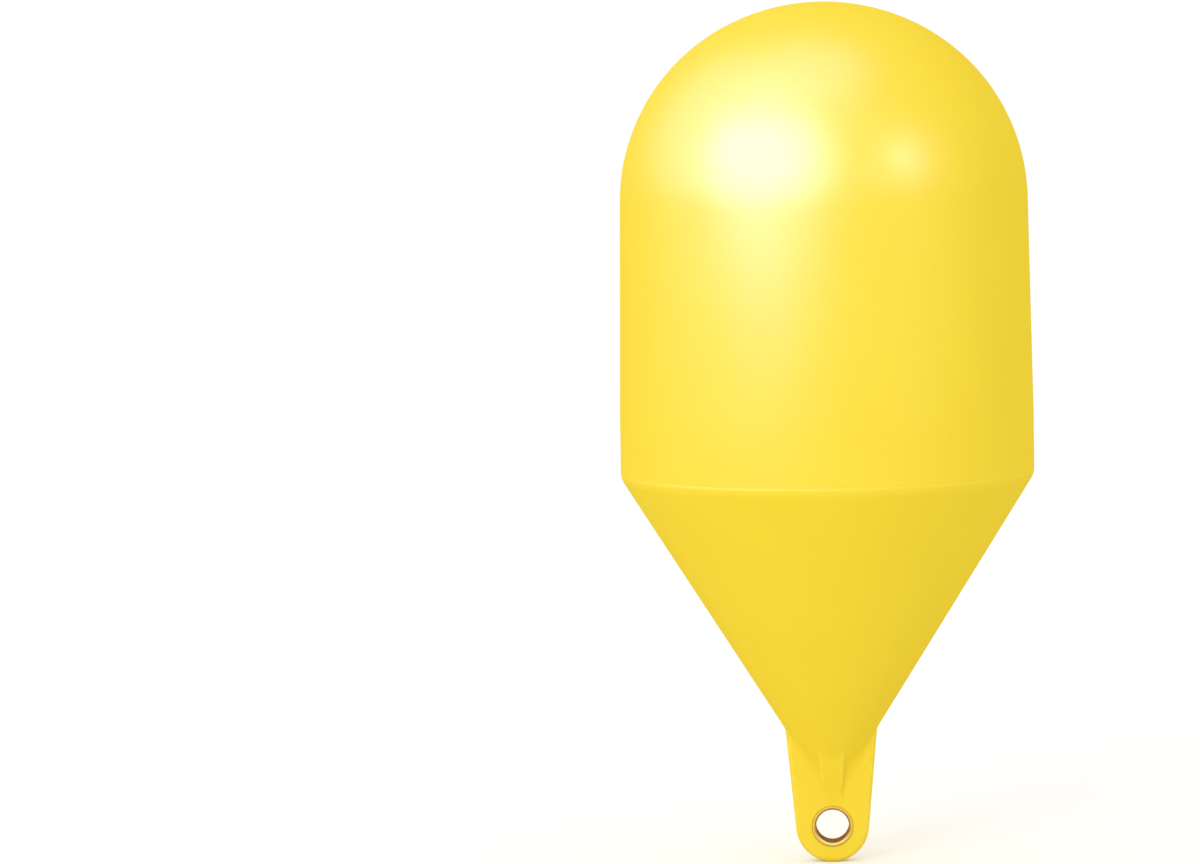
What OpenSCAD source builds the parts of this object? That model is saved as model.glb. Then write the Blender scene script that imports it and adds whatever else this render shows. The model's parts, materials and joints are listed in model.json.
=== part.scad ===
// Cylindrical marker buoy with a cone foot and a flat mooring lug.
// Z = 0 is the waterline on the buoy's axis, the buoy stands upright, and the mooring eye's bore runs along Y.
// Revolved outlines are drawn as radius and height above the parting line, and the float is moved to
// its waterline at the end.

/* [Float] */
// Largest diameter, at the foot of the barrel
float_d = 400; // [250:5:600]
// Height of the centre of the dome's lower arc above the parting line
barrel_h = 258.5; // [150:0.5:500]
// Height of the plain band at the foot of the barrel
band_h = 55; // [5:1:80]
// Draft of the barrel's side above the plain band, in degrees
barrel_draft = 0.9; // [0.3:0.1:2]
// Distance from the axis out to the centre of the dome's lower arc
dome_arc_in = 5.3; // [0.5:0.1:40]
// Angle above the horizon at which the flatter crown takes over, in degrees
crown_from = 62; // [40:1:75]
// Wall of the moulded shells
wall = 5; // [3:0.5:8]
// Height of the waterline above the parting line
waterline_h = 120; // [0:5:200]

/* [Cone foot] */
// Angle between the cone's side and the axis, in degrees
cone_angle = 32.2; // [28:0.1:38]
// Radius of the shoulder between the barrel and the cone
shoulder_r = 20.5; // [12:0.5:40]
// Radius of the round tip of the hollow inside the cone
hollow_tip_r = 14; // [8:1:24]

/* [Mooring lug] */
// Distance from the cone's sharp apex down to the centre of the eye
eye_below_apex = 23.4; // [18:0.1:36]
// Radius of the lug's round end
lug_end_r = 35.4; // [30:0.1:42]
// Thickness of the lug
lug_t = 27; // [22:1:34]
// Taper of each side of the lug, in degrees
lug_taper = 5.4; // [3:0.2:8]
// Radius of the rounded edge all round the lug
lug_edge_r = 5; // [2:0.5:8]

/* [Gusset ribs] */
// Width of the rib at its foot, next to the bush
rib_w = 17; // [10:1:24]
// Widening of each side of the rib's root towards the cone, in degrees
rib_taper = 9.8; // [6:0.2:14]
// Draft of each side of the rib, from its root to its crest, in degrees
rib_draft = 17; // [4:1:20]
// Slope of the rib's crest against the lug's face, in degrees
rib_slope = 18; // [12:1:24]
// Distance from the bush's lip up to the foot of the rib
rib_gap = 3.3; // [2:0.1:10]

/* [Eye bush] */
// Bore through the bush
bush_bore = 32; // [24:1:34]
// Wall of the bush's tube
bush_wall = 2; // [1.5:0.5:3]
// Width of the rolled lip outside the tube
lip_w = 1.7; // [1:0.1:3]
// Height of the rolled lip above the lug's face, and radius of its rounded edges
lip_proud = 1.2; // [0.8:0.1:1.6]
// Clearance between the tube and its hole in the lug
bush_gap = 0.1; // [0.05:0.05:0.3]

/* [Hidden] */
$fn = 128;

yellow = [0.98, 0.84, 0.20];
brass = [0.72, 0.55, 0.28];

float_r = float_d / 2;
seam_z = -waterline_h;
// Overlap where an arc runs into what it is tangent to, so that the two always join
hair = 0.002;

// Dome: its lower arc is tangent to the drafted side of the barrel, and the crown is tangent to that arc.
dome_arc_r = (float_r - dome_arc_in) * cos(barrel_draft) - (barrel_h - band_h) * sin(barrel_draft);
crown_r = dome_arc_r + dome_arc_in / cos(crown_from);
crown_z = barrel_h - dome_arc_in * tan(crown_from);

// Cone: its side is tangent to the shoulder, whose arc starts at the parting line.
shoulder_in = float_r - shoulder_r;
apex_z = -(shoulder_in * cos(cone_angle) + shoulder_r) / sin(cone_angle);
eye_z = seam_z + apex_z - eye_below_apex;

// Radius at which the cone's side meets the lug's tapered side
junction_r = (lug_end_r + eye_below_apex * sin(lug_taper))
    / (cos(lug_taper) - sin(lug_taper) / tan(cone_angle));
// The lug runs up until its corners are buried in the cone's wall.
buried_r = norm([junction_r, lug_t / 2]) + wall / 2;
lug_rise = eye_below_apex + buried_r / tan(cone_angle);
lug_run = (lug_rise + lug_end_r * sin(lug_taper)) / cos(lug_taper);
// The cone's own tip is a small round one, buried in the lug.
cone_tip_r = lug_t / 4;

bush_tube_r = bush_bore / 2 + bush_wall;
lip_r = bush_tube_r + lip_w;
rib_foot = lip_r + rib_gap;
// Length that reaches past everything on the lug
reach_all = 2 * lug_run;

// Point where something is tangent to a circle, brought in by a hair
function tangent_point(centre, radius, angle) =
    centre + (radius - hair) * [cos(angle), sin(angle)];

// Half outline of the barrel and dome, brought in by inset all round
module barrel_outline(inset) {
    r = float_r - inset;
    arc_r = dome_arc_r - inset;
    cap_r = crown_r - inset;
    arc_at = [dome_arc_in, barrel_h];
    band_z = band_h - inset * tan(barrel_draft / 2);
    polygon([
        [0, 0],
        [r, 0],
        [r, band_z],
        tangent_point(arc_at, arc_r, barrel_draft),
        [0, barrel_h]
    ]);
    intersection() {
        translate(arc_at) circle(arc_r);
        square([r, barrel_h + arc_r]);
    }
    intersection() {
        translate([0, crown_z - hair]) circle(cap_r);
        translate([0, barrel_h + arc_r * sin(crown_from)]) square(cap_r);
    }
}

// Half outline of the shoulder and cone, brought in by inset all round, down to a round tip
module cone_outline(inset, tip_r) {
    arc_r = shoulder_r - inset;
    tip_z = apex_z + (inset + tip_r) / sin(cone_angle);
    polygon([
        [0, 0],
        [shoulder_in, 0],
        tangent_point([shoulder_in, 0], arc_r, -cone_angle),
        tangent_point([0, tip_z], tip_r, -cone_angle),
        [0, tip_z]
    ]);
    intersection() {
        translate([shoulder_in, 0]) circle(arc_r);
        translate([shoulder_in, -arc_r]) square(arc_r);
    }
    intersection() {
        translate([0, tip_z]) circle(tip_r);
        translate([0, tip_z - tip_r]) square(tip_r);
    }
}

// Half section of the lug across its edge, from its middle out to reach, with rounded corners
module edge_section(reach) {
    flat = lug_t / 2 - lug_edge_r;
    translate([0, -lug_t / 2]) square([reach - lug_edge_r, lug_t]);
    translate([reach - lug_edge_r, -flat]) square([lug_edge_r, 2 * flat]);
    for (side = [-1, 1])
        intersection() {
            translate([reach - lug_edge_r, side * flat]) circle(lug_edge_r);
            translate([reach - lug_edge_r, side > 0 ? flat : -lug_t / 2]) square(lug_edge_r);
        }
}

// Lug about the eye's centre: a round end, two tapered sides and the wedge between them
module lug_plate() {
    rotate([90, 180 - lug_taper, 0])
        rotate_extrude(angle = 180 - 2 * lug_taper)
            edge_section(lug_end_r);
    for (side = [0, 1])
        mirror([side, 0, 0])
            rotate([0, lug_taper, 0])
                linear_extrude(lug_run)
                    edge_section(lug_end_r);
    rotate([90, 0, 0])
        linear_extrude(lug_t, center = true)
            polygon([
                [0, 0],
                [lug_run * sin(lug_taper), lug_run * cos(lug_taper)],
                [-lug_run * sin(lug_taper), lug_run * cos(lug_taper)]
            ]);
}

// Gusset rib on the +Y face: a wedge under a sloping crest, between two drafted and tapered sides
module rib() {
    intersection() {
        rotate([90, 0, 90])
            linear_extrude(reach_all, center = true)
                polygon([
                    [0, rib_foot],
                    [lug_t / 2, rib_foot],
                    [lug_t / 2 + (lug_rise - rib_foot) * tan(rib_slope), lug_rise],
                    [0, lug_rise]
                ]);
        intersection_for(side = [0, 1])
            mirror([side, 0, 0])
                translate([rib_w / 2, lug_t / 2, rib_foot])
                    rotate([0, rib_taper, rib_draft])
                        translate([-reach_all, -reach_all / 2, -reach_all / 2])
                            cube(reach_all);
    }
}

module upper_shell() {
    color(yellow)
        translate([0, 0, seam_z])
            rotate_extrude()
                difference() {
                    barrel_outline(0);
                    barrel_outline(wall);
                }
}

module lower_shell() {
    color(yellow)
        difference() {
            union() {
                translate([0, 0, seam_z])
                    rotate_extrude()
                        cone_outline(0, cone_tip_r);
                translate([0, 0, eye_z]) {
                    lug_plate();
                    rib();
                    mirror([0, 1, 0]) rib();
                }
            }
            translate([0, 0, seam_z])
                rotate_extrude()
                    cone_outline(wall, hollow_tip_r);
            translate([0, 0, eye_z])
                rotate([90, 0, 0])
                    cylinder(h = 2 * lug_t, r = bush_tube_r + bush_gap, center = true);
        }
}

// Half section of the bush: tube and one rolled lip
module bush_section() {
    mouth_r = bush_bore / 2 + lip_proud;
    face = lug_t / 2;
    translate([bush_bore / 2, 0]) square([bush_wall, face]);
    translate([mouth_r, face]) square([lip_r - lip_proud - mouth_r, lip_proud]);
    intersection() {
        translate([mouth_r, face]) circle(lip_proud);
        translate([mouth_r - lip_proud, face]) square(lip_proud);
    }
    intersection() {
        translate([lip_r - lip_proud, face]) circle(lip_proud);
        translate([lip_r - lip_proud, face]) square(lip_proud);
    }
}

module eye_bush() {
    color(brass)
        translate([0, 0, eye_z])
            rotate([90, 0, 0])
                rotate_extrude() {
                    bush_section();
                    mirror([0, 1]) bush_section();
                }
}

upper_shell();
lower_shell();
eye_bush();
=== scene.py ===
# %% [markdown]
# A moulded marker buoy. The imported solids come in first and stay where they are: they are the
# frame that every surface below is built on. A float of this kind is a hollow polyethylene
# moulding, so nearly all of its look is one satin yellow skin, bent over a dome, a barrel, a
# shoulder, a cone and a flat lug. The CAD box is measured before anything is added.

# %% Load the fixed frame
import json
import math

import bpy
import numpy as np
from mathutils import Matrix, Vector


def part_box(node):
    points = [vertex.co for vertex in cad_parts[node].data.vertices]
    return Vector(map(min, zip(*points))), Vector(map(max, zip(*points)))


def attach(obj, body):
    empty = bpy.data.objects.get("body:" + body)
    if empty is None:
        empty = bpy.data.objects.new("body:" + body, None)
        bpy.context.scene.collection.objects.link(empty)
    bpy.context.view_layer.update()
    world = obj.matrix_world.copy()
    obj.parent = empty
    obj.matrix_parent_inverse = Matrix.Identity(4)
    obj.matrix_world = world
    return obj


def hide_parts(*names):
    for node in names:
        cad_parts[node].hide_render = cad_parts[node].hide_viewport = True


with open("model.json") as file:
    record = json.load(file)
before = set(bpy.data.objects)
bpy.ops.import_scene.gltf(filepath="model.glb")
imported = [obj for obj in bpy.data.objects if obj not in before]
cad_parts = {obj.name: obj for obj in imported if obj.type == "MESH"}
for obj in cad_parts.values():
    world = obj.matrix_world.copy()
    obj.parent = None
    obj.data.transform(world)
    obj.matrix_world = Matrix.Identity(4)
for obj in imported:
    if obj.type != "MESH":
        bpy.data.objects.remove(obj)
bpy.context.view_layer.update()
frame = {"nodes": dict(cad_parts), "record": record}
record = frame["record"]
print("CAD nodes:", sorted(frame["nodes"]))

# %% [markdown]
# Sizes. What the frame can tell is read from it: the parting line, the largest radius, the lug's
# foot, the eye's bore. The mould's own angles and radii can't be read from a box, so they are
# written down as the designer would note them on the drawing, in millimetres and degrees. The
# float's come first, and the others follow where they are needed.

# %% Read the driving sizes
MM = 0.001

shell_low, shell_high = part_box("upper_shell")
lug_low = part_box("lower_shell")[0]
bush_low, bush_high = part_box("eye_bush")
eye = next(m for m in record["mounts"] if m["name"] == "mooring_eye")

seam_z = shell_low.z
float_r = (shell_high.x - shell_low.x) / 2
eye_z = eye["pos_m"][2]
lug_t = eye["dims"]["length_mm"] * MM
lug_end_r = eye_z - lug_low.z
bush_bore_r = eye["dims"]["r_mm"] * MM
lip_r = (bush_high.x - bush_low.x) / 2
lip_proud = bush_high.y - lug_t / 2

barrel_draft = math.radians(0.9)
crown_from = math.radians(62)
cone_angle = math.radians(32.2)
dome_arc_in = 5.3 * MM
band_h = 55 * MM
shoulder_r = 20.5 * MM
print(f"float radius {float_r / MM:.2f} mm, parting line at {seam_z / MM:.1f} mm, "
      f"lug {lug_t / MM:.0f} mm thick, bore {2 * bush_bore_r / MM:.0f} mm")

# %% [markdown]
# The dome's radii aren't chosen. They follow from the sizes above, because crown, lower arc and
# side have to meet without a kink, and the top has to end where the frame says.

# %% Work out the dome and the cone
crown_gain = dome_arc_in * (1 / math.cos(crown_from) - math.tan(crown_from))
barrel_h = (shell_high.z - seam_z - (float_r - dome_arc_in) * math.cos(barrel_draft)
            - band_h * math.sin(barrel_draft) - crown_gain) / (1 - math.sin(barrel_draft))
dome_arc_r = shell_high.z - seam_z - barrel_h - crown_gain
crown_r = dome_arc_r + dome_arc_in / math.cos(crown_from)
crown_z = barrel_h - dome_arc_in * math.tan(crown_from)
shoulder_in = float_r - shoulder_r
apex_z = seam_z - (shoulder_in * math.cos(cone_angle) + shoulder_r) / math.sin(cone_angle)
print(f"dome radii {dome_arc_r / MM:.2f} and {crown_r / MM:.2f} mm, "
      f"barrel {barrel_h / MM:.1f} mm, cone apex {(apex_z - eye_z) / MM:.1f} mm above the eye")

# %% [markdown]
# A surface of this buoy is always a grid: rows run along an outline, columns run round the axis.
# One helper turns such a grid into a closed mesh, either with a point at each pole or as a ring. It
# is shaded smooth, apart from the edges that turn sharply, such as the end of the hole in the lug.

# %% Turn a grid of points into a closed mesh
CRISP = math.radians(40)


def skin(name, points, poles=None):
    """Mesh of a grid (rows, columns, 3) that closes round its columns. Row r and row r + 1 are
    joined by quads. With two poles each end row is joined to its own by a fan, and with none the
    last row joins the first. Edges that turn by more than CRISP stay sharp."""
    rows, cols = points.shape[:2]
    index = np.arange(rows * cols).reshape(rows, cols)
    if poles is None:
        index = np.concatenate([index, index[:1]])
    beside = np.roll(index, -1, axis=1)
    quads = np.stack([index[:-1], beside[:-1], beside[1:], index[1:]], axis=-1).reshape(-1, 4)
    verts, faces = points.reshape(-1, 3), quads.tolist()
    if poles is not None:
        first, last = rows * cols, rows * cols + 1
        faces += np.stack([np.full(cols, first), beside[0], index[0]], axis=-1).tolist()
        faces += np.stack([np.full(cols, last), index[-1], beside[-1]], axis=-1).tolist()
        verts = np.concatenate([verts, poles])
    mesh = bpy.data.meshes.new(name)
    mesh.from_pydata(verts.tolist(), [], faces)
    mesh.shade_smooth()
    mesh.set_sharp_from_angle(angle=CRISP)
    obj = bpy.data.objects.new(name, mesh)
    bpy.context.scene.collection.objects.link(obj)
    return obj

# %% [markdown]
# A round float is an outline carried round its axis, just as a pattern maker turns it on a lathe.
# One helper gives an outline's arcs, and the other carries an outline round.

# %% Outlines and how they go round
def arc(centre_r, centre_z, radius, start, stop, count, ease=1.0):
    """Points (r, z) on a circle: centre plus radius times (cosine, sine) of angles from start to
    stop, in even steps, or closer together near the start when ease is above 1."""
    turn = start + (stop - start) * np.linspace(0, 1, count) ** ease
    return np.stack([centre_r + radius * np.cos(turn), centre_z + radius * np.sin(turn)], axis=-1)


def revolve(outline, angles):
    """Each outline point (r, z) goes round the axis: (r cos a, r sin a, z)."""
    r, z = outline[:, :1], outline[:, 1:]
    level_z = np.broadcast_to(z, (len(z), len(angles)))
    return np.stack([r * np.cos(angles), r * np.sin(angles), level_z], axis=-1)

# %% [markdown]
# Every piece is measured when it is made. The volume is a good test of a mesh: it comes out
# positive only where the faces point outwards.

# %% Measure a piece
def at_points(mesh, what):
    """Array (points, 3) of a mesh's "co" or "normal"."""
    values = np.zeros(len(mesh.vertices) * 3)
    mesh.vertices.foreach_get(what, values)
    return values.reshape(-1, 3)


def volume(obj):
    """Volume inside a closed mesh: the sum of a . (b x c) / 6 over its triangles."""
    mesh = obj.data
    mesh.calc_loop_triangles()
    corners = np.zeros(len(mesh.loop_triangles) * 3, np.int32)
    mesh.loop_triangles.foreach_get("vertices", corners)
    a, b, c = at_points(mesh, "co")[corners.reshape(-1, 3)].transpose(1, 0, 2)
    return float(np.einsum("ij,ij->i", a, np.cross(b, c)).sum() / 6)


def report(obj):
    """Prints a piece's triangles and volume."""
    litres = volume(obj) * 1000
    print(f"{obj.name}: {len(obj.data.loop_triangles)} triangles, {litres:.3f} litres")

# %% [markdown]
# Upper shell. On the real float the dome and the barrel come out of one half of the mould, with a
# little draft so that the skin lets go. It could be a cylinder and half a sphere with a bevel
# between them, but the draft makes the two meet at a slant, and a satin skin shows a kink there at
# once. So the outline is one line in which each part is tangent to the next: a flatter crown, the
# dome's lower arc, the drafted side, the plain band and the corner at the parting line. The wall
# is the same outline brought in by its thickness. Rows lie close together next to the corner, so
# that the wear that is laid on it later doesn't reach up the band.

# %% Outline of the barrel and dome
wall = 5 * MM
SEAM_CORNER = 0.25 * MM
CROWN_ROWS, ARC_ROWS, SIDE_ROWS, BAND_ROWS, CORNER_ROWS = 34, 64, 12, 7, 5


def barrel_outline(inset, corner):
    """Outline (r, z) from the crown down to the parting line: the crown's arc hands over to the
    lower arc at one angle, that arc ends where its normal is the side's normal, the side runs
    straight down to the plain band, and the last corner has a small radius. The band's last rows
    are 6, 3 and 1 of that radius above the line."""
    crown = arc(0, seam_z + crown_z, crown_r - inset, math.pi / 2, crown_from, CROWN_ROWS)[1:-1]
    lower_arc = arc(dome_arc_in, seam_z + barrel_h, dome_arc_r - inset,
                    crown_from, barrel_draft, ARC_ROWS)
    dome = np.concatenate([crown, lower_arc])
    side_r = float_r - inset
    band_z = seam_z + band_h - inset * math.tan(barrel_draft / 2)
    rise = np.linspace(0, 1, SIDE_ROWS)[1:, None]
    side = dome[-1] + (np.array([side_r, band_z]) - dome[-1]) * rise
    heights = np.append(np.linspace(band_z, seam_z + 6 * corner, BAND_ROWS)[1:],
                        [seam_z + 3 * corner, seam_z + corner])
    band = np.stack([np.full(len(heights), side_r), heights], axis=-1)
    foot = arc(side_r - corner, seam_z + corner, corner, 0, -math.pi / 2, CORNER_ROWS)[1:]
    return np.concatenate([dome, side, band, foot])


outside = barrel_outline(0, SEAM_CORNER)
inside = barrel_outline(wall, SEAM_CORNER)[::-1]
# The inner corner isn't rounded: its rows lie flat on the parting line.
inside[:CORNER_ROWS - 1, 1] = seam_z
print("rows outside and inside:", len(outside), len(inside))

# %% [markdown]
# Outside and inside make one closed line from pole to pole. Carried round the axis it gives the
# whole shell at once, so the wall is real, and the two faces can't come apart.

# %% Upper shell
UPPER_COLUMNS = 256
upper = skin(
    "upper_float",
    revolve(np.concatenate([outside, inside])[::-1],
            np.linspace(0, 2 * math.pi, UPPER_COLUMNS, endpoint=False)),
    [(0, 0, shell_high.z - wall), (0, 0, shell_high.z)],
)
report(upper)

# %% [markdown]
# Lower shell. The cone runs down into a flat lug, and a gusset rib on each face carries the pull
# of the chain into the cone. In the mould these forms flow into each other, so a plain union of
# solids would look cut out of paper. Here the outer skin is where a distance field is zero: the
# field is negative inside the form and positive outside. It is put together from the distances to
# the three forms, and each of them comes from a drawing's own words: an angle, a radius, a taper.

# %% Distances to the cone and the lug
lug_taper = math.radians(5.4)
lug_edge_r = 5 * MM


def cone_distance(x, y, h):
    """Distance to the cone's side: how far the radius is past the cone's at that height, times
    the cosine of the cone's angle."""
    above = h - (apex_z - eye_z)
    return (np.hypot(x, y) - above * math.tan(cone_angle)) * math.cos(cone_angle)


def lug_distance(x, y, h):
    """Distance to the lug: its outline is a circle below and tangent lines above, and the
    thickness is rounded into it by the edge radius."""
    along = np.abs(x) * math.sin(lug_taper) + h * math.cos(lug_taper)
    across = np.abs(x) * math.cos(lug_taper) - h * math.sin(lug_taper)
    outline = np.where(along > 0, across, np.hypot(x, h)) - lug_end_r
    a = outline + lug_edge_r
    b = np.abs(y) - lug_t / 2 + lug_edge_r
    outer = np.hypot(np.maximum(a, 0), np.maximum(b, 0))
    return outer + np.minimum(np.maximum(a, b), 0) - lug_edge_r


print(f"distance to the lug's face from the middle of the eye: {lug_distance(0, 0, 0) / MM:.1f} mm")

# %% [markdown]
# A rib is a wedge under a sloping crest, between two sides that are drafted and tapered. Its crest
# is rounded by a smooth minimum, and the same function joins the whole foot later.

# %% Distance to a rib
rib_w = 17 * MM
rib_foot = lip_r + 3.3 * MM
rib_taper = math.radians(9.8)
rib_draft = math.radians(17)
rib_slope = math.radians(18)
CREST_ROUND = 2.2 * MM


def smooth_min(a, b, width):
    """The smaller of a and b, rounded off where they differ by less than width: a mix of the two,
    lowered by width times share times (1 - share)."""
    share = np.clip(0.5 + 0.5 * (b - a) / width, 0, 1)
    return b * (1 - share) + a * share - width * share * (1 - share)


def rib_side(x, y, h):
    """Distance to a rib's side: how far x is past half the rib's width, times the cosines of both
    angles. The width grows upwards by the taper and shrinks away from the lug by the draft."""
    past_face = np.abs(y) - lug_t / 2
    wider = (h - rib_foot) * math.tan(rib_taper) - past_face * math.tan(rib_draft)
    return (np.abs(x) - rib_w / 2 - wider) * math.cos(rib_draft) * math.cos(rib_taper)


def rib_distance(x, y, h):
    """Distance to a rib: the crest's slanted plane and the two sides, with rounded edges."""
    rise = (h - rib_foot) * math.tan(rib_slope)
    crest = (np.abs(y) - lug_t / 2 - rise) * math.cos(rib_slope)
    return -smooth_min(-crest, -rib_side(x, y, h), CREST_ROUND)


print(f"rib {rib_w / MM:.0f} mm wide at its foot, {rib_foot / MM:.1f} mm above the eye's centre")

# %% [markdown]
# The field is a smooth union: the three distances are blended over a few millimetres where they
# are nearly equal, which is just what a fillet does. The blend is soft on the lug's faces. It is
# tight at the lug's edges, where the outline against the light shows a crisp corner, and at the
# top of the rib's crest, which ends in a clear line.

# %% Smooth union of the foot
FACE_BLEND = 8.0 * MM
EDGE_BLEND = 1.6 * MM
EDGE_FROM, EDGE_SPAN = 26 * MM, 14 * MM
RIB_BLEND = 3.2 * MM
CREST_BLEND = 1.0 * MM
CREST_SPAN = 8 * MM


def foot_distance(x, y, h):
    """Smooth union of cone, lug and ribs. x and y are across and through the lug, h is above the
    eye. The ribs blend softly where the lug is the nearer neighbour, and tightly where the cone
    is."""
    near_edge = np.clip((np.abs(x) - EDGE_FROM) / EDGE_SPAN, 0, 1)
    near_edge = near_edge * near_edge * (3 - 2 * near_edge)
    lug, cone = lug_distance(x, y, h), cone_distance(x, y, h)
    body = smooth_min(lug, cone, FACE_BLEND + (EDGE_BLEND - FACE_BLEND) * near_edge)
    on_cone = np.clip(0.5 + (lug - cone) / CREST_SPAN, 0, 1)
    return smooth_min(body, rib_distance(x, y, h), RIB_BLEND + (CREST_BLEND - RIB_BLEND) * on_cone)


print(f"distance at the lug's lowest point: {foot_distance(0.0, 0.0, -lug_end_r) / MM:.4f} mm")

# %% [markdown]
# The skin is found by rays from the axis. They stand in columns round it, which could be evenly
# spaced, but the lug's rounded edges turn within a few degrees. So the columns are closer together
# there.

# %% Columns of rays
FOOT_COLUMNS = 336
FINE_ANGLES = 7201
LUG_CORNER, CORNER_SPREAD, CORNER_CROWD = math.radians(17), math.radians(9), 1.4


def bell(angles, centre, spread):
    """exp(-(a / spread)^2), where a is the angle between each of the angles and the centre, the
    short way round."""
    away = (angles - centre + math.pi) % (2 * math.pi) - math.pi
    return np.exp(-(away / spread) ** 2)


def crowded_angles(count, centres, spread, crowd):
    """Angles round the axis whose density is 1 plus crowd times a bell at each centre: the
    running sum of the density is read backwards at even steps."""
    fine = np.linspace(0, 2 * math.pi, FINE_ANGLES)
    density = 1 + crowd * bell(fine[:, None], centres, spread).sum(axis=1)
    total = np.concatenate([[0], np.cumsum((density[1:] + density[:-1]) / 2)])
    return np.interp(np.linspace(0, total[-1], count, endpoint=False), total, fine)


lug_corners = np.array([LUG_CORNER, math.pi - LUG_CORNER, math.pi + LUG_CORNER, -LUG_CORNER])
columns = crowded_angles(FOOT_COLUMNS, lug_corners, CORNER_SPREAD, CORNER_CROWD)
gaps = np.degrees(np.diff(columns))
print(f"{len(columns)} columns, {gaps.min():.2f} to {gaps.max():.2f} degrees apart")

# %% [markdown]
# Down to the eye's centre each ray goes straight out, and rows are closer together where cone, lug
# and ribs meet. Below it the rays fan down like the spines of a sea urchin, so the lug's round end
# gets an even grid too.

# %% Rays from the axis
CLOSE_FROM, CLOSE_TO = 120 * MM, 16 * MM
CONE_ROWS, CLOSE_ROWS, LUG_ROWS, FAN_ROWS = 40, 96, 12, 46
RAY_REACH = 60 * MM

side_top = seam_z - shoulder_r * math.sin(cone_angle)
level = np.concatenate([
    np.linspace(side_top, eye_z + CLOSE_FROM, CONE_ROWS)[1:-1],
    np.linspace(eye_z + CLOSE_FROM, eye_z + CLOSE_TO, CLOSE_ROWS)[:-1],
    np.linspace(eye_z + CLOSE_TO, eye_z, LUG_ROWS),
]) - eye_z
dip = np.linspace(0, math.pi / 2, FAN_ROWS)[1:-1]

flat = np.stack([np.cos(columns), np.sin(columns), np.zeros(len(columns))], axis=-1)
down = np.array([0, 0, -1.0])
level_rays = np.broadcast_to(flat, (len(level),) + flat.shape)
fan_rays = np.cos(dip)[:, None, None] * flat + np.sin(dip)[:, None, None] * down
directions = np.concatenate([level_rays, fan_rays])
origins = np.zeros((len(directions), 1, 3))
origins[:len(level), 0, 2] = level
reach = np.concatenate([np.maximum(level, 0) + RAY_REACH, np.full(len(dip), RAY_REACH)])[:, None]
print("rays:", directions.shape[:2], "of which level:", len(level))

# %% [markdown]
# Each ray crosses the skin once. Halving the distance forty times finds the crossing for all rays
# together, to far less than the width of an atom.

# %% Cross the foot's skin
HALVINGS = 40


def cross_skin(origin, direction, reach):
    """Distance along each ray to where the field turns from inside to outside, by halving."""
    near = np.zeros(direction.shape[:2])
    far = np.broadcast_to(reach, near.shape).copy()
    for _ in range(HALVINGS):
        middle = (near + far) / 2
        x, y, h = np.moveaxis(origin + direction * middle[..., None], -1, 0)
        within = foot_distance(x, y, h) < 0
        near = np.where(within, middle, near)
        far = np.where(within, far, middle)
    return (near + far) / 2


foot_grid = origins + directions * cross_skin(origins, directions, reach)[..., None]
foot_grid[..., 2] += eye_z
print(f"foot grid {foot_grid.shape}, lowest point {foot_grid[..., 2].min() / MM:.2f} mm")

# %% [markdown]
# Parting line. Two mould halves never meet quite true, so the lower half sits inside the upper one
# by a tenth of a millimetre all round, and by a quarter at the front right. Plastic that crept
# between the halves was trimmed with a knife, and leaves a low ridge just below the line, fullest
# at the front left.

# %% Shoulder with the step and the flash
STEP_ROUND, STEP_WAVE = 0.09 * MM, 0.02 * MM
STEP_MORE, STEP_AT, STEP_SPREAD = 0.15 * MM, math.radians(-56), math.radians(22)
FLASH_BELOW, FLASH_WIDTH, FLASH_HEIGHT = 2.4 * MM, 1.5 * MM, 0.28 * MM
FLASH_LEAST, FLASH_AT, FLASH_SPREAD = 0.2, math.radians(-120), math.radians(34)
SHOULDER_ROWS, SHOULDER_EASE = 34, 1.4


def seam_step(angles):
    """How far the lower half sits inside the upper one: the same all round, a slight wave of two
    periods, and a bell where the halves meet worst."""
    wave = STEP_WAVE * np.sin(2 * angles + 1)
    return STEP_ROUND + wave + STEP_MORE * bell(angles, STEP_AT, STEP_SPREAD)


def flash_share(angles, below):
    """1 along the middle of the flash's ridge, at a height below the parting line: a bell across
    the ridge, and round the axis a bell on top of a least share."""
    round_axis = FLASH_LEAST + (1 - FLASH_LEAST) * bell(angles, FLASH_AT, FLASH_SPREAD)
    return round_axis * np.exp(-((below - FLASH_BELOW) / FLASH_WIDTH) ** 2)


shoulder = arc(shoulder_in, seam_z, shoulder_r, 0, -cone_angle, SHOULDER_ROWS, SHOULDER_EASE)
below = seam_z - shoulder[:, 1:]
inward = (1 - below / below.max()) ** 2 * seam_step(columns)
ridged = shoulder[:, :1] - inward + FLASH_HEIGHT * flash_share(columns, below)
shoulder_grid = revolve(shoulder, columns)
shoulder_grid[..., :2] = np.minimum(ridged, float_r - inward)[..., None] * flat[:, :2]
print(f"step at the parting line: {inward.min() / MM:.2f} to {inward.max() / MM:.2f} mm")

# %% [markdown]
# The inner wall follows the outer one at the wall's thickness, down to a round tip inside the
# cone. Below that the lug is solid. The three grids share their columns, so they join into one
# skin.

# %% Lower shell
HOLLOW_TIP_R = 14 * MM
TIP_ROWS, HOLLOW_ROWS, BEND_ROWS = 10, 14, 8


def hollow_outline(inset, tip_r):
    """Inner outline (r, z) from the hollow's round tip up to the parting line: an arc, a straight
    line at the cone's angle and the shoulder's arc, each tangent to the next."""
    tip_z = apex_z + (inset + tip_r) / math.sin(cone_angle)
    tip = arc(0, tip_z, tip_r, -math.pi / 2, -cone_angle, TIP_ROWS)[1:]
    bend = arc(shoulder_in, seam_z, shoulder_r - inset, -cone_angle, 0, BEND_ROWS)
    rise = np.linspace(0, 1, HOLLOW_ROWS)[1:-1, None]
    return np.concatenate([tip, tip[-1] + (bend[0] - tip[-1]) * rise, bend])


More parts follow.
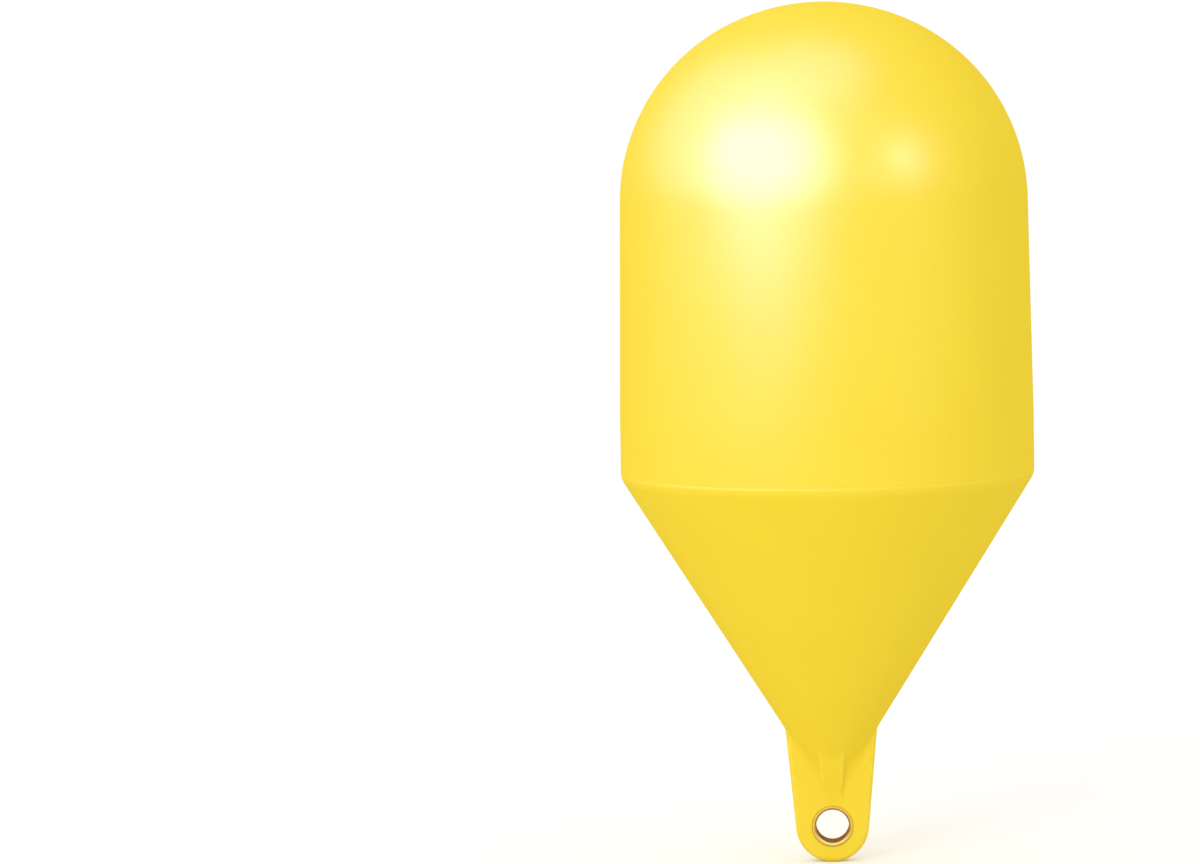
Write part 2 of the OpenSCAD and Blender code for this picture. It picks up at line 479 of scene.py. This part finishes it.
inner_grid = revolve(hollow_outline(wall, HOLLOW_TIP_R), columns)
hollow_low = apex_z + (wall + HOLLOW_TIP_R) / math.sin(cone_angle) - HOLLOW_TIP_R
lower = skin(
    "lower_float",
    np.concatenate([inner_grid, shoulder_grid, foot_grid])[::-1],
    [(0, 0, eye_z - lug_end_r), (0, 0, hollow_low)],
)
report(lower)

# %% [markdown]
# Bush. The chain would saw through plastic, so the eye is lined with a brass tube whose ends are
# rolled over the lug's faces. A lathe-turned part is one section carried round its own axis, here
# Y. The same helper makes the plug that cuts the hole in the lug, so hole and tube can't drift
# apart.

# %% Hole in the lug
bush_wall = 2 * MM
HOLE_GAP = 0.1 * MM
BUSH_COLUMNS = 128


def turned(outline, angles):
    """Each section point (r, y) goes round the eye's axis: (r cos a, y, eye height + r sin a)."""
    r, y = outline[:, :1], outline[:, 1:]
    return np.stack([r * np.cos(angles), np.broadcast_to(y, (len(y), len(angles))),
                     eye_z + r * np.sin(angles)], axis=-1)


tube_r = bush_bore_r + bush_wall
around = np.linspace(0, 2 * math.pi, BUSH_COLUMNS, endpoint=False)
plug_r, plug_y = tube_r + HOLE_GAP, lug_t
plug = skin(
    "hole_plug",
    turned(np.array([[plug_r, plug_y], [plug_r, -plug_y]]), around),
    [(0, plug_y, eye_z), (0, -plug_y, eye_z)],
)
cut = lower.modifiers.new("eye hole", "BOOLEAN")
cut.operation = "DIFFERENCE"
cut.solver = "EXACT"
cut.object = plug
evaluated = lower.evaluated_get(bpy.context.evaluated_depsgraph_get())
bored = bpy.data.meshes.new_from_object(evaluated)
lower.modifiers.clear()
lower.data = bored
bpy.data.objects.remove(plug)
bored.shade_smooth()
bored.set_sharp_from_angle(angle=CRISP)
report(lower)

# %% [markdown]
# The bush's section is closed in itself, so its skin is a ring without poles. Bore, rim and lip are
# one line, as on a tube whose ends were rolled over with a punch.

# %% Brass bush
BORE_ROWS, LIP_ROWS, TUBE_ROWS = 12, 10, 5


def bush_section():
    """Closed section (r, y) of the tube: the bore's wall, then at each end a rounded mouth, a
    flat rim, a rounded outer edge, and back under the lip to the tube's outside."""
    face = lug_t / 2
    mouth_r = bush_bore_r + lip_proud
    half = np.concatenate([
        np.linspace([bush_bore_r, 0], [bush_bore_r, face], BORE_ROWS)[:-1],
        arc(mouth_r, face, lip_proud, math.pi, math.pi / 2, LIP_ROWS),
        arc(lip_r - lip_proud, face, lip_proud, math.pi / 2, 0, LIP_ROWS),
        np.linspace([tube_r, face], [tube_r, 0], TUBE_ROWS),
    ])
    other = half[-2:0:-1] * [1, -1]
    return np.concatenate([half, other])


bush = skin("brass_bush", turned(bush_section(), around))
report(bush)

# %% [markdown]
# Every piece rides on the buoy's one body, and each new skin stands for the solid that it was
# built on.

# %% Seat the pieces in the frame
for piece, node, slot in ((upper, "upper_shell", "float_plastic"),
                          (lower, "lower_shell", "float_plastic"),
                          (bush, "eye_bush", "bush_brass")):
    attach(piece, "root")
    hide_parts(node)
    print(f"{piece.name} stands for {node}, finish {slot}")

# %% [markdown]
# Edges first. Handling polishes a moulded skin where it sticks out, and nowhere else, so both
# finishes need to know where that is. A shader could ask for Pointiness, but that exists in one
# renderer only and depends on how fine the mesh is. A number stored at each point is the same
# everywhere: how sharply the surface bends outwards there. A second number marks the ridge of the
# trimmed flash, which is painted paler: partly plastic that the knife left pale, and partly a
# painted highlight where the lamp catches the ridge, fullest at the front left.

# %% Mark the outward bends and the flash
PLASTIC_BEND, BRASS_BEND = 8 * MM, 1.5 * MM
TINY = 1e-12


def store(obj, name, share):
    """Float attribute with one number from 0 to 1 at each point."""
    layer = obj.data.attributes.new(name, "FLOAT", "POINT")
    layer.data.foreach_set("value", share.astype(np.float32))
    marked = 100 * float((share > 0.5).mean())
    print(f"{obj.name}: {name} is above a half on {marked:.1f} % of the points")


def mark_edges(obj, radius):
    """Float attribute "edge": 0 on flat and hollow places, 1 where the surface bends outwards
    with the given radius or tighter. Along a mesh edge from p to q the curvature is
    2 (p - q).n / |p - q|^2, and a point takes the mean over its edges."""
    mesh = obj.data
    count = len(mesh.vertices)
    co, normal = at_points(mesh, "co"), at_points(mesh, "normal")
    ends = np.zeros(len(mesh.edges) * 2, np.int32)
    mesh.edges.foreach_get("vertices", ends)
    p, q = np.concatenate([ends.reshape(-1, 2), ends.reshape(-1, 2)[:, ::-1]]).T
    along = co[p] - co[q]
    bend = 2 * (along * normal[p]).sum(axis=1) / np.maximum((along ** 2).sum(axis=1), TINY)
    mean = np.bincount(p, bend, count) / np.maximum(np.bincount(p, minlength=count), 1)
    store(obj, "edge", np.clip(mean * radius, 0, 1))


mark_edges(upper, PLASTIC_BEND)
mark_edges(lower, PLASTIC_BEND)
mark_edges(bush, BRASS_BEND)
for piece in (upper, lower):
    x, y, z = at_points(piece.data, "co").T
    store(piece, "flash", flash_share(np.arctan2(y, x), seam_z - z))

# %% [markdown]
# A few helpers keep the node trees short. One adds a node and fills its sockets in the same
# breath, the others wrap what comes up most: a calculation, a product, a soft ramp, a colour mix.

# %% Helpers for node trees
def add(tree, kind, inputs=None, **settings):
    """New shader node. settings are the node's own properties; inputs fill sockets by name or
    number, each with a constant or with another node's output."""
    node = tree.nodes.new("ShaderNode" + kind)
    for key, value in settings.items():
        setattr(node, key, value)
    for key, value in (inputs or {}).items():
        if isinstance(value, bpy.types.NodeSocket):
            tree.links.new(value, node.inputs[key])
        else:
            node.inputs[key].default_value = value
    return node


def calc(tree, operation, a, b=0.0, c=0.0):
    """Output of a Math node."""
    return add(tree, "Math", {0: a, 1: b, 2: c}, operation=operation).outputs[0]


def times(tree, a, b):
    """Product of two numbers or outputs."""
    return calc(tree, "MULTIPLY", a, b)


def ramp(tree, value, start, stop, first, last):
    """Value turned into first below start and last above stop, with a soft change between."""
    return add(tree, "MapRange", {"Value": value, "From Min": start, "From Max": stop,
                                  "To Min": first, "To Max": last},
               interpolation_type="SMOOTHSTEP").outputs[0]


def blend(tree, share, first, second):
    """Colour mix: first where share is 0, second where it is 1. A colour is three numbers or an
    output."""
    first, second = (c + (1,) if isinstance(c, tuple) else c for c in (first, second))
    return add(tree, "Mix", {0: share, 6: first, 7: second}, data_type="RGBA").outputs[2]

# %% [markdown]
# Four effects are shared by plastic and brass, so each is one node group with its own values in
# every material. One helper opens a group with its inputs and outputs, the other places it in a
# tree.

# %% Helpers for node groups
def new_group(name, inputs, outputs):
    """Empty node group: inputs are (name, socket, default), outputs are (name, socket)."""
    tree = bpy.data.node_groups.new(name, "ShaderNodeTree")
    for label, kind, default in inputs:
        socket = tree.interface.new_socket(label, in_out="INPUT", socket_type="NodeSocket" + kind)
        if default is not None:
            socket.default_value = default
    for label, kind in outputs:
        tree.interface.new_socket(label, in_out="OUTPUT", socket_type="NodeSocket" + kind)
    given, out = tree.nodes.new("NodeGroupInput").outputs, tree.nodes.new("NodeGroupOutput").inputs
    return tree, given, out


def use(tree, group, inputs):
    """Outputs of a group placed in a tree with its own values."""
    return add(tree, "Group", inputs, node_tree=group).outputs

# %% [markdown]
# Grain is the fine relief of a surface, blasted into the mould or left by the lathe. Drift is slow
# change over centimetres, such as uneven pigment, or tarnish. Each is noise worked out from a place
# in metres, so that its size is a real size on the buoy.

# %% Grain and drift
def grain_group():
    """Height = two octave sets of noise, the second about three times finer, mixed 70 to 30."""
    tree, given, out = new_group(
        "grain", [("Vector", "Vector", None), ("Size", "Float", 0.002)], [("Height", "Float")])
    scale = calc(tree, "DIVIDE", 1.0, given["Size"])
    coarse = add(tree, "TexNoise", {"Vector": given["Vector"], "Scale": scale,
                                    "Detail": 2.0, "Roughness": 0.5})
    fine = add(tree, "TexNoise", {"Vector": given["Vector"], "Scale": times(tree, scale, 3.1),
                                  "Detail": 1.0})
    mixed = add(tree, "Mix", {0: 0.3, 2: coarse.outputs[0], 3: fine.outputs[0]})
    tree.links.new(mixed.outputs[0], out["Height"])
    return tree


def drift_group():
    """Drift = slow noise spread to the whole range from 0 to 1 and pulled towards its middle by
    Calm."""
    tree, given, out = new_group(
        "drift", [("Vector", "Vector", None), ("Size", "Float", 0.1), ("Calm", "Float", 0.0)],
        [("Drift", "Float")])
    noise = add(tree, "TexNoise", {"Vector": given["Vector"],
                                   "Scale": calc(tree, "DIVIDE", 1.0, given["Size"]),
                                   "Detail": 3.0, "Roughness": 0.55, "Distortion": 0.4})
    spread = ramp(tree, noise.outputs[0], 0.3, 0.7, 0.0, 1.0)
    calm = add(tree, "Mix", {0: given["Calm"], 2: spread, 3: 0.5})
    tree.links.new(calm.outputs[0], out["Drift"])
    return tree


grain, drift = grain_group(), drift_group()
print("node groups:", grain.name, drift.name)

# %% [markdown]
# Rub is what hands and rope do to an edge: the edge mark from above, broken up so that it never
# looks like a drawn line. Eye place tells how far a point is from the eye's axis, because painted
# shade, a painted highlight and tarnish lie in rings round the bush.

# %% Rub and eye place
def rub_group():
    """Rub = edge mark to the power 1.5, times a noise that is thresholded softly, times Amount."""
    tree, given, out = new_group(
        "rub", [("Edge", "Float", 0.0), ("Vector", "Vector", None), ("Size", "Float", 0.01),
                ("Amount", "Float", 1.0)], [("Rub", "Float")])
    noise = add(tree, "TexNoise", {"Vector": given["Vector"],
                                   "Scale": calc(tree, "DIVIDE", 1.0, given["Size"]),
                                   "Detail": 4.0, "Roughness": 0.6})
    patches = ramp(tree, noise.outputs[0], 0.35, 0.65, 0.0, 1.0)
    strength = times(tree, calc(tree, "POWER", given["Edge"], 1.5), patches)
    tree.links.new(times(tree, strength, given["Amount"]), out["Rub"])
    return tree


def eye_group():
    """Radius = distance from the eye's axis, the root of x^2 + (z - Height)^2. Down = (Height - z)
    / Radius, which is 1 straight below the axis."""
    tree, given, out = new_group(
        "eye_place", [("Vector", "Vector", None), ("Height", "Float", 0.0)],
        [("Radius", "Float"), ("Down", "Float")])
    part = add(tree, "SeparateXYZ", {0: given["Vector"]}).outputs
    up = calc(tree, "SUBTRACT", part["Z"], given["Height"])
    square = calc(tree, "MULTIPLY_ADD", up, up, times(tree, part["X"], part["X"]))
    radius = calc(tree, "SQRT", square)
    tree.links.new(radius, out["Radius"])
    tree.links.new(calc(tree, "DIVIDE", times(tree, up, -1.0), radius), out["Down"])
    return tree


rub, eye_place = rub_group(), eye_group()
print("node groups:", rub.name, eye_place.name)

# %% [markdown]
# A material here is one Principled BSDF. What changes over the surface is linked into it, and what
# is the same all over is a plain number on its socket.

# %% Helpers for materials
def new_material(name):
    """A material whose tree holds one Principled BSDF and the output."""
    material = bpy.data.materials.new(name)
    material.use_nodes = True
    return material, material.node_tree, material.node_tree.nodes["Principled BSDF"]


def set_plain(shader, values):
    """Puts numbers and colours that are the same all over on the shader's own sockets."""
    for socket, value in values.items():
        shader.inputs[socket].default_value = value


def wear(pieces, material):
    """Gives pieces a material as their only one, and prints how many nodes it took."""
    for piece in pieces:
        piece.data.materials.clear()
        piece.data.materials.append(material)
    print(f"{material.name}: {len(material.node_tree.nodes)} nodes")

# %% [markdown]
# Polyethylene. The float is coloured right through with a warm yellow pigment that drifts a
# little from place to place. The colour is a saturated yellow with almost no blue in it: every bit
# of blue that the eye sees is white light off the skin. Rubbed edges are paler, and so is the
# trimmed flash, partly as a painted highlight. A ring of painted shade lies in the corner under
# the bush's lip, darker below the eye as a painted shadow.

# %% Colour of the polyethylene
YELLOW = (0.905, 0.675, 0.035)
YELLOW_DEEP = (0.885, 0.652, 0.031)
YELLOW_PALE = (0.935, 0.740, 0.080)
LIP_SHADE = (0.200, 0.145, 0.030)
LIP_SHADE_FROM, LIP_SHADE_TO = lip_r - 0.1 * MM, lip_r + 1.3 * MM
LIP_SHADE_MEAN, LIP_SHADE_SWING = 0.38, 0.34

plastic, tree, shader = new_material("yellow_polyethylene")
here = add(tree, "TexCoord").outputs["Object"]
edge = add(tree, "Attribute", attribute_name="edge").outputs["Fac"]
flash = add(tree, "Attribute", attribute_name="flash").outputs["Fac"]
tone = use(tree, drift, {"Vector": here, "Size": 0.16, "Calm": 0.35})["Drift"]
rubbed = use(tree, rub, {"Edge": edge, "Vector": here, "Size": 0.012, "Amount": 0.5})["Rub"]
colour = blend(tree, tone, YELLOW_DEEP, YELLOW)
# Paler along the flash's ridge: partly trimmed plastic, partly a painted highlight, fullest at the
# front left.
colour = blend(tree, calc(tree, "MAXIMUM", rubbed, flash), colour, YELLOW_PALE)
place = use(tree, eye_place, {"Vector": here, "Height": eye_z})
# Painted shade: a dark ring in the corner under the bush's lip, with a painted shadow below the
# eye.
lip_shade = ramp(tree, place["Radius"], LIP_SHADE_FROM, LIP_SHADE_TO, 1.0, 0.0)
shadow_below = calc(tree, "MULTIPLY_ADD", place["Down"], LIP_SHADE_SWING, LIP_SHADE_MEAN)
colour = blend(tree, times(tree, lip_shade, shadow_below), colour, LIP_SHADE)
tree.links.new(colour, shader.inputs["Base Color"])
print(f"yellow {YELLOW_DEEP} to {YELLOW}, painted_shade within {LIP_SHADE_TO / MM:.1f} mm of the eye's centre")

# %% [markdown]
# The skin is satin: the mould is blasted, so light comes back in one wide soft glow. Glossy
# plastic turns white towards its outline, where the eye looks along the surface. A blasted skin
# doesn't, it stays yellow to the very edge. So the base has no gloss of its own, and a coat with a
# high index and a small weight carries the glow: what it gives back is nearly the same from every
# side. The fine grain shades the base only, and the glow on the coat stays soft.

# %% Gloss and grain of the polyethylene
COAT_LEAST, COAT_MOST, COAT_RUBBED = 0.038, 0.042, 0.02

gloss = use(tree, drift, {"Vector": here, "Size": 0.05, "Calm": 0.2})["Drift"]
weight = add(tree, "MapRange", {"Value": gloss, "To Min": COAT_LEAST, "To Max": COAT_MOST})
weight = calc(tree, "MULTIPLY_ADD", rubbed, COAT_RUBBED, weight.outputs[0])
# No coat where the ring of painted shade lies, so the painted shade doesn't shine.
unshaded = calc(tree, "SUBTRACT", 1.0, lip_shade)
tree.links.new(times(tree, weight, unshaded), shader.inputs["Coat Weight"])

pebbles = use(tree, grain, {"Vector": here, "Size": 0.0016})["Height"]
relief = add(tree, "Bump", {"Strength": 0.25, "Distance": 0.00012, "Height": pebbles})
tree.links.new(relief.outputs[0], shader.inputs["Normal"])
shader.distribution = "GGX"
set_plain(shader, {"Roughness": 0.6, "Specular IOR Level": 0,
                   "Coat IOR": 3.0, "Coat Roughness": 0.42})
wear((upper, lower), plastic)

# %% [markdown]
# Brass. The bush is turned on a lathe and then pressed into the lug, where its ends are rolled
# over. The flat rim of the lip keeps its golden colour. The bore and the rounded mouth are painted
# brown as shade, and so is the outer edge down in the corner, with a thin film of tarnish in
# clouds over the whole bush. The bottom of the mouth is painted bright as a highlight. These rings
# of painted shade and highlight are laid by the distance from the eye's axis.

# %% Where the brass is brown and where it is bright
BRASS = (0.860, 0.600, 0.110)
# Painted highlight colour for the bottom of the mouth.
BRASS_HIGHLIGHT = (0.980, 0.860, 0.480)
# Brown of tarnish, also used as painted shade in the bore, the mouth and the corner.
TARNISH_AND_SHADE = (0.360, 0.165, 0.042)
RIM_FROM, RIM_TO = bush_bore_r + 1.3 * MM, bush_bore_r + 2.1 * MM
CORNER_FROM, CORNER_TO, CORNER_SHADE_SHARE = lip_r - 0.8 * MM, lip_r - 0.1 * MM, 0.55
MOUTH_FROM, MOUTH_TO = bush_bore_r + 0.2 * MM, bush_bore_r + 0.6 * MM
MOUTH_END, MOUTH_GONE = bush_bore_r + 1.6 * MM, bush_bore_r + 2.2 * MM
# Where the painted highlight on the mouth begins and is full on the way down, and its strength.
HIGHLIGHT_FROM, HIGHLIGHT_FULL, HIGHLIGHT_MOST = 0.2, 0.85, 0.9
# Share of the brown that comes and goes in clouds, and the thin film that they leave everywhere.
CLOUDED, FILM = 0.2, 0.08

brass, tree, shader = new_material("turned_brass")
here = add(tree, "TexCoord").outputs["Object"]
edge = add(tree, "Attribute", attribute_name="edge").outputs["Fac"]
place = use(tree, eye_place, {"Vector": here, "Height": eye_z})
cloud = use(tree, drift, {"Vector": here, "Size": 0.007, "Calm": 0.1})["Drift"]
rubbed = use(tree, rub, {"Edge": edge, "Vector": here, "Size": 0.004, "Amount": 0.25})["Rub"]


def ring(start, stop, first, last):
    """Soft change with the distance from the eye's axis, from start to stop."""
    return ramp(tree, place["Radius"], start, stop, first, last)


# Painted shade: the bore, the rounded mouth and the outer edge down in the corner turn brown.
bore_shade = ring(RIM_FROM, RIM_TO, 1.0, 0.0)
corner_shade = ring(CORNER_FROM, CORNER_TO, 0.0, CORNER_SHADE_SHARE)
shade_and_tarnish = times(tree, calc(tree, "MAXIMUM", bore_shade, corner_shade),
              calc(tree, "MULTIPLY_ADD", cloud, CLOUDED, 1 - CLOUDED))
shade_and_tarnish = calc(tree, "SUBTRACT", shade_and_tarnish, times(tree, shade_and_tarnish, rubbed))
shade_and_tarnish = calc(tree, "MULTIPLY_ADD", cloud, FILM, shade_and_tarnish)
mouth = times(tree, ring(MOUTH_FROM, MOUTH_TO, 0.0, 1.0), ring(MOUTH_END, MOUTH_GONE, 1.0, 0.0))
# Painted highlight: the mouth is bright towards its bottom, below the eye.
mouth_highlight = times(tree, mouth, ramp(tree, place["Down"], HIGHLIGHT_FROM, HIGHLIGHT_FULL, 0.0, HIGHLIGHT_MOST))
shade_and_tarnish = times(tree, calc(tree, "MINIMUM", shade_and_tarnish, 1.0), calc(tree, "SUBTRACT", 1.0, mouth_highlight))
print(f"flat rim stays golden from {RIM_TO / MM:.1f} to {CORNER_FROM / MM:.1f} mm")

# %% [markdown]
# A metal mirrors white even where it is brown, if the eye looks along it, so the painted shade and
# the tarnish can't be just a darker metal: where they lie the brass is rougher and hardly
# metallic, and the metal's own edge tint is brown. The lathe leaves circles: grain that changes
# with the radius and along the axis, but never round it.

# %% Turned brass
EDGE_TINT = (0.80, 0.55, 0.30, 1)
SHADE_AND_TARNISH_METALLIC = 0.15
METAL_ROUGH, SHADE_AND_TARNISH_ROUGHER = 0.32, 0.25

colour = blend(tree, shade_and_tarnish, blend(tree, mouth_highlight, BRASS, BRASS_HIGHLIGHT), TARNISH_AND_SHADE)
tree.links.new(colour, shader.inputs["Base Color"])
metallic = calc(tree, "MULTIPLY_ADD", shade_and_tarnish, SHADE_AND_TARNISH_METALLIC - 1, 1.0)
roughness = calc(tree, "MULTIPLY_ADD", shade_and_tarnish, SHADE_AND_TARNISH_ROUGHER, METAL_ROUGH)
tree.links.new(metallic, shader.inputs["Metallic"])
tree.links.new(roughness, shader.inputs["Roughness"])
set_plain(shader, {"Specular IOR Level": 0, "Specular Tint": EDGE_TINT})
depth = add(tree, "SeparateXYZ", {0: here}).outputs["Y"]
turned_place = add(tree, "CombineXYZ", {0: place["Radius"], 1: depth}).outputs[0]
circles = use(tree, grain, {"Vector": turned_place, "Size": 0.0005})["Height"]
relief = add(tree, "Bump", {"Strength": 0.3, "Distance": 0.00003, "Height": circles})
tree.links.new(relief.outputs[0], shader.inputs["Normal"])
wear((bush,), brass)

# %% [markdown]
# Floor. The buoy is shown on a seamless pale sweep. The plane is wide enough to fill every view,
# it takes the buoy's soft shadow, and its far end would be darker than the near one, because lamps
# don't reach it. So rays that come straight from the camera, or off metal, see it lifted towards
# white, while the light that it throws back on the plastic stays what a pale floor gives.

# %% Floor
FLOOR_HALF = 60.0
FLOOR_GREY, FLOOR_LIFT = 0.82, 0.19
floor_z = lug_low.z
floor_mesh = bpy.data.meshes.new("floor")
square = ((-1, -1), (1, -1), (1, 1), (-1, 1))
floor_mesh.from_pydata([(x * FLOOR_HALF, y * FLOOR_HALF, floor_z) for x, y in square],
                       [], [(0, 1, 2, 3)])
floor = bpy.data.objects.new("floor", floor_mesh)
bpy.context.scene.collection.objects.link(floor)

pale, tree, shader = new_material("pale_floor")
set_plain(shader, {"Base Color": (FLOOR_GREY, FLOOR_GREY, FLOOR_GREY, 1), "Roughness": 1,
                   "Specular IOR Level": 0, "Emission Color": (1, 1, 1, 1)})
path = add(tree, "LightPath").outputs
seen = calc(tree, "MAXIMUM", path["Is Camera Ray"], path["Is Glossy Ray"])
seen = calc(tree, "MAXIMUM", seen, path["Is Transmission Ray"])
tree.links.new(times(tree, seen, FLOOR_LIFT), shader.inputs["Emission Strength"])
wear((floor,), pale)
print(f"floor at {floor_z / MM:.1f} mm, the lug's lowest point")

# %% [markdown]
# World. Most of the light comes evenly from all round, as in a white tent: that is why the cone,
# which faces the floor, is hardly darker than the barrel.

# %% World
world = bpy.data.worlds.new("studio")
bpy.context.scene.world = world
world.use_nodes = True
tent = world.node_tree.nodes["Background"]
set_plain(tent, {"Color": (1, 1, 1, 1), "Strength": 1.0})
print("tent strength:", tent.inputs["Strength"].default_value)

# %% [markdown]
# Lamps. A product photographer sets shade and gloss apart with polarising foil on the lamps, and
# Blender can do the same with a lamp's ray visibility. One soft lamp only shades, from the front
# left and above. Four more only gloss: an oval one close by, whose reflection is the white glow on
# the dome, two broad ones to the left and overhead, which carry that glow out to the left flank
# and up to the crown, and a small one to the right for the second, smaller spot. The gloss lamps
# are far brighter than the room, because the plastic gives back a hundredth of them. Metal would
# give back nearly all, so light linking keeps them off the brass.

# %% A soft lamp that shades or glosses
def direction(azimuth, elevation):
    """Unit vector from the buoy towards a lamp: azimuth 0 is the viewer's side, -Y, and grows to
    the viewer's right; elevation is above the horizon. Both in degrees."""
    a, e = math.radians(azimuth), math.radians(elevation)
    return Vector((math.sin(a) * math.cos(e), -math.cos(a) * math.cos(e), math.sin(e)))


gloss_takers = bpy.data.collections.new("gloss_takers")
for piece in (upper, lower):
    gloss_takers.objects.link(piece)


def soft_lamp(name, azimuth, elevation, distance, across, tall, watts,
              colour=(1, 1, 1), shades=True):
    """An oval area lamp that faces the middle of the dome from a distance in metres. It either
    shades, or it glosses on the plastic."""
    lamp = bpy.data.lights.new(name, "AREA")
    lamp.shape = "ELLIPSE"
    lamp.size, lamp.size_y, lamp.energy, lamp.color = across, tall, watts, colour
    obj = bpy.data.objects.new(name, lamp)
    toward = direction(azimuth, elevation)
    obj.location = Vector((0, 0, seam_z + barrel_h)) + toward * distance
    obj.rotation_euler = toward.to_track_quat("Z", "Y").to_euler()
    obj.visible_camera = False
    obj.visible_diffuse = shades
    obj.visible_glossy = not shades
    if not shades:
        obj.light_linking.receiver_collection = gloss_takers
    bpy.context.scene.collection.objects.link(obj)
    print(f"{name}: {watts} W from {distance} m")


# %% [markdown]
# The gloss lamps are bluish. A camera rolls off the brightest greens, so its glow on yellow goes
# through cream to white, while a plain render clips green and stays lemon. With less green in the
# lamp the glow has the same cream. The two broad lamps are less blue than the near one, because
# their faint glow would turn pink on the shaded side.

# %% Lamps
COOL = (0.30, 0.34, 1.00)
FAINTLY_COOL = (0.46, 0.48, 1.00)
PALE_COOL = (0.80, 0.90, 1.00)
soft_lamp("shading_lamp", -25, 20, 3.0, 1.5, 1.5, 20.5)
soft_lamp("gloss_lamp", -30.6, 23.2, 0.65, 0.74, 0.62, 87, COOL, shades=False)
soft_lamp("broad_gloss_lamp", -86, 36, 2.0, 2.6, 2.6, 385, FAINTLY_COOL, shades=False)
soft_lamp("top_gloss_lamp", -19, 76.9, 1.5, 1.2, 1.2, 94, FAINTLY_COOL, shades=False)
soft_lamp("small_gloss_lamp", 47.8, 23.9, 3.0, 0.35, 0.35, 188, PALE_COOL, shades=False)

# %% [markdown]
# Camera. It stands where the photographer stood: seven metres off and a little above the parting
# line, so that the line's curve is as flat as in the photo, and rolled by the photo's slight lean.
# The lens follows from one number, the size of a pixel at the buoy's axis. The buoy stands to the
# right of the middle, and the frame is shifted there, because turning the camera would bend the
# view of its sides.

# %% Camera
IMAGE_W = 1200
PIXEL = 0.96717 * MM
AXIS_PX = 827.05
MIDDLE_Z = -84.45 * MM
LEAN = math.radians(0.816)
SEAM_ELEVATION = math.radians(5.2)
CAMERA_AWAY = 7.0
SENSOR_W = 36
SIGHT_END = 200

camera_at = Vector((0, -CAMERA_AWAY, seam_z + math.tan(SEAM_ELEVATION) * CAMERA_AWAY))
sight = Vector((0, 0, MIDDLE_Z)) - camera_at

camera_data = bpy.data.cameras.new("camera")
camera_data.sensor_width = SENSOR_W
camera_data.lens = SENSOR_W * sight.length / (IMAGE_W * PIXEL)
camera_data.shift_x = (IMAGE_W / 2 - AXIS_PX) / IMAGE_W
camera_data.clip_end = SIGHT_END
camera = bpy.data.objects.new("camera", camera_data)
roll = Matrix.Rotation(-LEAN, 3, "Z")
camera.matrix_world = Matrix.LocRotScale(
    camera_at, (sight.to_track_quat("-Z", "Y").to_matrix() @ roll).to_quaternion(), None)
bpy.context.scene.collection.objects.link(camera)
bpy.context.scene.camera = camera
bpy.context.scene.view_settings.view_transform = "Standard"
print(f"lens {camera_data.lens:.1f} mm, shift {camera_data.shift_x:.3f}, "
      f"lean {math.degrees(LEAN):.2f} degrees")
